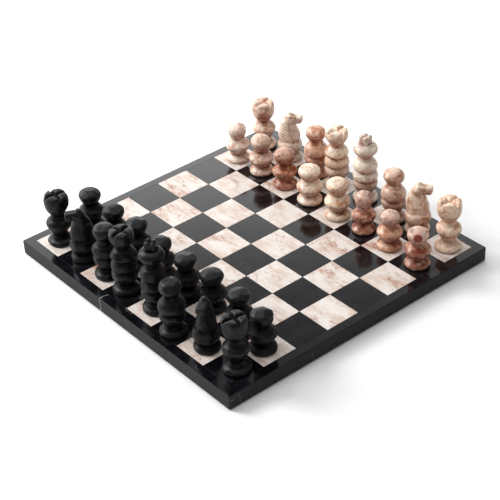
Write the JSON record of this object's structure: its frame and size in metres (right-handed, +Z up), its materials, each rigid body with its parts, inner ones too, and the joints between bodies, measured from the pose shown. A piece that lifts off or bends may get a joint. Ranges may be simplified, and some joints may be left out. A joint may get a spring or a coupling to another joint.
{
  "type": "chess set with board",
  "caption": "Carved marble chess pieces standing in their opening places on an inlaid marble board with a dark border; every piece lifts off.",
  "frame": {"origin": "centre of the board's underside, on the table", "axes": "+X along the ranks from the queens' side to the kings' side, +Y from the black army to the pale army, +Z up"},
  "size_m": [0.3412, 0.3412, 0.0978],
  "materials": {
    "felt": "matt felt",
    "backing_stone": "sawn",
    "cement": "matt black cement",
    "pale_tile_marble": "polished",
    "black_tile_marble": "polished",
    "border_marble": "polished on top, honed on the sides",
    "black_piece_marble": "hand ground satin",
    "pale_piece_marble": "hand ground satin"
  },
  "bodies": {
    "board": {"felt_sheet": "felt", "backing_slab": "backing_stone", "cement_bed": "cement", "light_tiles": "pale_tile_marble", "dark_tiles": "black_tile_marble", "border_black_side": "border_marble", "border_kings_side": "border_marble", "border_white_side": "border_marble", "border_queens_side": "border_marble"},
    "black_king": {"black_king": "black_piece_marble"},
    "black_king_bishop": {"black_king_bishop": "black_piece_marble"},
    "black_king_knight": {"black_king_knight": "black_piece_marble"},
    "black_king_rook": {"black_king_rook": "black_piece_marble"},
    "black_pawn_1": {"black_pawn_1": "black_piece_marble"},
    "black_pawn_2": {"black_pawn_2": "black_piece_marble"},
    "black_pawn_3": {"black_pawn_3": "black_piece_marble"},
    "black_pawn_4": {"black_pawn_4": "black_piece_marble"},
    "black_pawn_5": {"black_pawn_5": "black_piece_marble"},
    "black_pawn_6": {"black_pawn_6": "black_piece_marble"},
    "black_pawn_7": {"black_pawn_7": "black_piece_marble"},
    "black_pawn_8": {"black_pawn_8": "black_piece_marble"},
    "black_queen": {"black_queen": "black_piece_marble"},
    "black_queen_bishop": {"black_queen_bishop": "black_piece_marble"},
    "black_queen_knight": {"black_queen_knight": "black_piece_marble"},
    "black_queen_rook": {"black_queen_rook": "black_piece_marble"},
    "white_king": {"white_king": "pale_piece_marble"},
    "white_king_bishop": {"white_king_bishop": "pale_piece_marble"},
    "white_king_knight": {"white_king_knight": "pale_piece_marble"},
    "white_king_rook": {"white_king_rook": "pale_piece_marble"},
    "white_pawn_1": {"white_pawn_1": "pale_piece_marble"},
    "white_pawn_2": {"white_pawn_2": "pale_piece_marble"},
    "white_pawn_3": {"white_pawn_3": "pale_piece_marble"},
    "white_pawn_4": {"white_pawn_4": "pale_piece_marble"},
    "white_pawn_5": {"white_pawn_5": "pale_piece_marble"},
    "white_pawn_6": {"white_pawn_6": "pale_piece_marble"},
    "white_pawn_7": {"white_pawn_7": "pale_piece_marble"},
    "white_pawn_8": {"white_pawn_8": "pale_piece_marble"},
    "white_queen": {"white_queen": "pale_piece_marble"},
    "white_queen_bishop": {"white_queen_bishop": "pale_piece_marble"},
    "white_queen_knight": {"white_queen_knight": "pale_piece_marble"},
    "white_queen_rook": {"white_queen_rook": "pale_piece_marble"}
  },
  "joints": [
    {"name": "black_king_lift", "type": "slide", "parent": "board", "child": "black_king", "axis": [0, 0, 1], "range_m": [0, 0.09]},
    {"name": "black_king_bishop_lift", "type": "slide", "parent": "board", "child": "black_king_bishop", "axis": [0, 0, 1], "range_m": [0, 0.09]},
    {"name": "black_king_knight_lift", "type": "slide", "parent": "board", "child": "black_king_knight", "axis": [0, 0, 1], "range_m": [0, 0.09]},
    {"name": "black_king_rook_lift", "type": "slide", "parent": "board", "child": "black_king_rook", "axis": [0, 0, 1], "range_m": [0, 0.09]},
    {"name": "black_pawn_1_lift", "type": "slide", "parent": "board", "child": "black_pawn_1", "axis": [0, 0, 1], "range_m": [0, 0.09]},
    {"name": "black_pawn_2_lift", "type": "slide", "parent": "board", "child": "black_pawn_2", "axis": [0, 0, 1], "range_m": [0, 0.09]},
    {"name": "black_pawn_3_lift", "type": "slide", "parent": "board", "child": "black_pawn_3", "axis": [0, 0, 1], "range_m": [0, 0.09]},
    {"name": "black_pawn_4_lift", "type": "slide", "parent": "board", "child": "black_pawn_4", "axis": [0, 0, 1], "range_m": [0, 0.09]},
    {"name": "black_pawn_5_lift", "type": "slide", "parent": "board", "child": "black_pawn_5", "axis": [0, 0, 1], "range_m": [0, 0.09]},
    {"name": "black_pawn_6_lift", "type": "slide", "parent": "board", "child": "black_pawn_6", "axis": [0, 0, 1], "range_m": [0, 0.09]},
    {"name": "black_pawn_7_lift", "type": "slide", "parent": "board", "child": "black_pawn_7", "axis": [0, 0, 1], "range_m": [0, 0.09]},
    {"name": "black_pawn_8_lift", "type": "slide", "parent": "board", "child": "black_pawn_8", "axis": [0, 0, 1], "range_m": [0, 0.09]},
    {"name": "black_queen_lift", "type": "slide", "parent": "board", "child": "black_queen", "axis": [0, 0, 1], "range_m": [0, 0.09]},
    {"name": "black_queen_bishop_lift", "type": "slide", "parent": "board", "child": "black_queen_bishop", "axis": [0, 0, 1], "range_m": [0, 0.09]},
    {"name": "black_queen_knight_lift", "type": "slide", "parent": "board", "child": "black_queen_knight", "axis": [0, 0, 1], "range_m": [0, 0.09]},
    {"name": "black_queen_rook_lift", "type": "slide", "parent": "board", "child": "black_queen_rook", "axis": [0, 0, 1], "range_m": [0, 0.09]},
    {"name": "white_king_lift", "type": "slide", "parent": "board", "child": "white_king", "axis": [0, 0, 1], "range_m": [0, 0.09]},
    {"name": "white_king_bishop_lift", "type": "slide", "parent": "board", "child": "white_king_bishop", "axis": [0, 0, 1], "range_m": [0, 0.09]},
    {"name": "white_king_knight_lift", "type": "slide", "parent": "board", "child": "white_king_knight", "axis": [0, 0, 1], "range_m": [0, 0.09]},
    {"name": "white_king_rook_lift", "type": "slide", "parent": "board", "child": "white_king_rook", "axis": [0, 0, 1], "range_m": [0, 0.09]},
    {"name": "white_pawn_1_lift", "type": "slide", "parent": "board", "child": "white_pawn_1", "axis": [0, 0, 1], "range_m": [0, 0.09]},
    {"name": "white_pawn_2_lift", "type": "slide", "parent": "board", "child": "white_pawn_2", "axis": [0, 0, 1], "range_m": [0, 0.09]},
    {"name": "white_pawn_3_lift", "type": "slide", "parent": "board", "child": "white_pawn_3", "axis": [0, 0, 1], "range_m": [0, 0.09]},
    {"name": "white_pawn_4_lift", "type": "slide", "parent": "board", "child": "white_pawn_4", "axis": [0, 0, 1], "range_m": [0, 0.09]},
    {"name": "white_pawn_5_lift", "type": "slide", "parent": "board", "child": "white_pawn_5", "axis": [0, 0, 1], "range_m": [0, 0.09]},
    {"name": "white_pawn_6_lift", "type": "slide", "parent": "board", "child": "white_pawn_6", "axis": [0, 0, 1], "range_m": [0, 0.09]},
    {"name": "white_pawn_7_lift", "type": "slide", "parent": "board", "child": "white_pawn_7", "axis": [0, 0, 1], "range_m": [0, 0.09]},
    {"name": "white_pawn_8_lift", "type": "slide", "parent": "board", "child": "white_pawn_8", "axis": [0, 0, 1], "range_m": [0, 0.09]},
    {"name": "white_queen_lift", "type": "slide", "parent": "board", "child": "white_queen", "axis": [0, 0, 1], "range_m": [0, 0.09]},
    {"name": "white_queen_bishop_lift", "type": "slide", "parent": "board", "child": "white_queen_bishop", "axis": [0, 0, 1], "range_m": [0, 0.09]},
    {"name": "white_queen_knight_lift", "type": "slide", "parent": "board", "child": "white_queen_knight", "axis": [0, 0, 1], "range_m": [0, 0.09]},
    {"name": "white_queen_rook_lift", "type": "slide", "parent": "board", "child": "white_queen_rook", "axis": [0, 0, 1], "range_m": [0, 0.09]}
  ]
}
